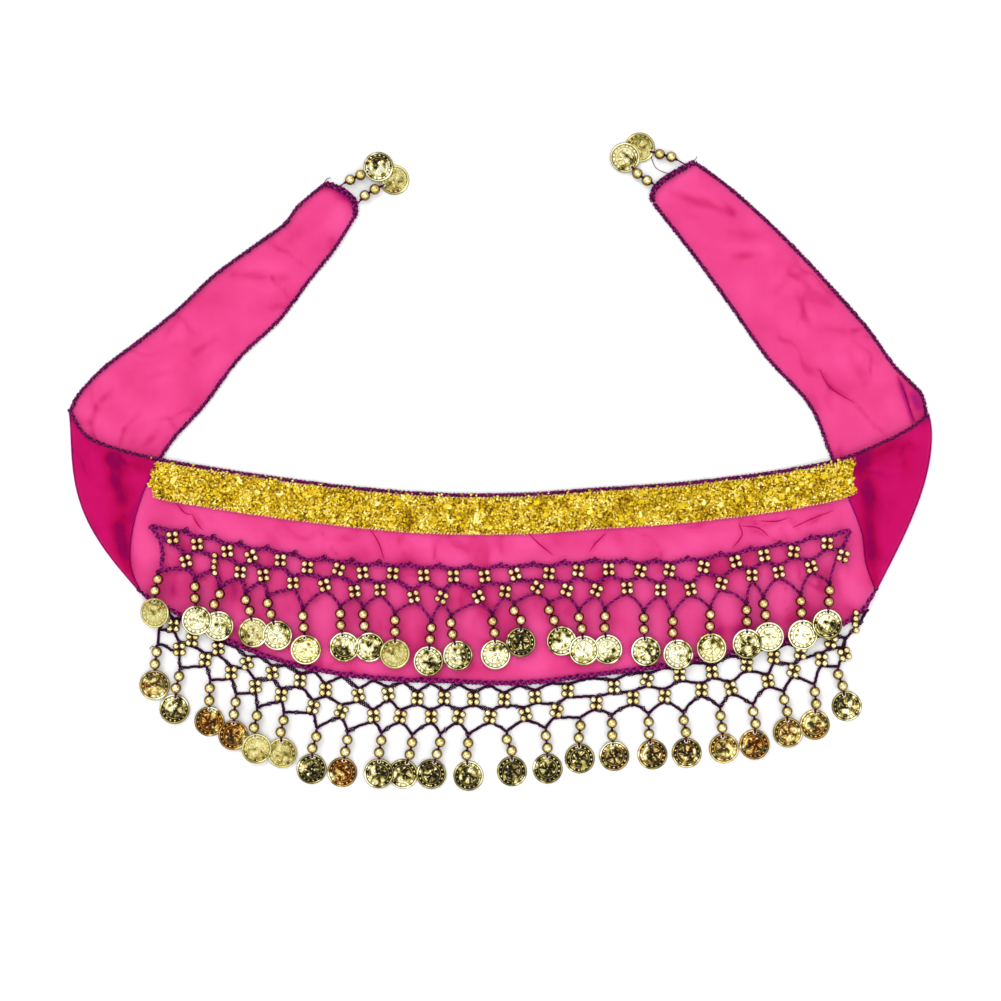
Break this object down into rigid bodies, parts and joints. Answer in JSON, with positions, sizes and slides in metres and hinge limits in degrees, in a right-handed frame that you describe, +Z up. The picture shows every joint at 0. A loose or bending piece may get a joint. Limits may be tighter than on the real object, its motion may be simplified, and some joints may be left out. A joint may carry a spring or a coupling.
{
  "type": "dog sequin hip scarf",
  "caption": "Sheer tapered sash for a dog with a glitter sequin band, two crochet trims of beads and hanging coins, and beaded coin drops on both ties, laid flat.",
  "frame": {"origin": "centre of the bounding box, on the surface that the scarf lies on", "axes": "+X to the right along the panel, +Y from the trim towards the ties' ends, +Z up from the surface"},
  "size_m": [0.4743, 0.361, 0.0081],
  "materials": {
    "sash_cloth": "sheer woven chiffon, soft sheen",
    "sequin_gold": "dense metallic glitter sequins",
    "crochet_thread": "twisted polyester crochet thread",
    "bead_gold": "metallised plastic beads, bright",
    "coin_gold": "thin stamped metal, bright"
  },
  "bodies": {
    "root": {"panel": "sash_cloth", "tie_left": "sash_cloth", "tie_right": "sash_cloth", "sequin_band": "sequin_gold", "upper_net": "coin_gold", "lower_net": "coin_gold", "end_drops_left": "coin_gold", "end_drops_right": "coin_gold"}
  },
  "joints": []
}
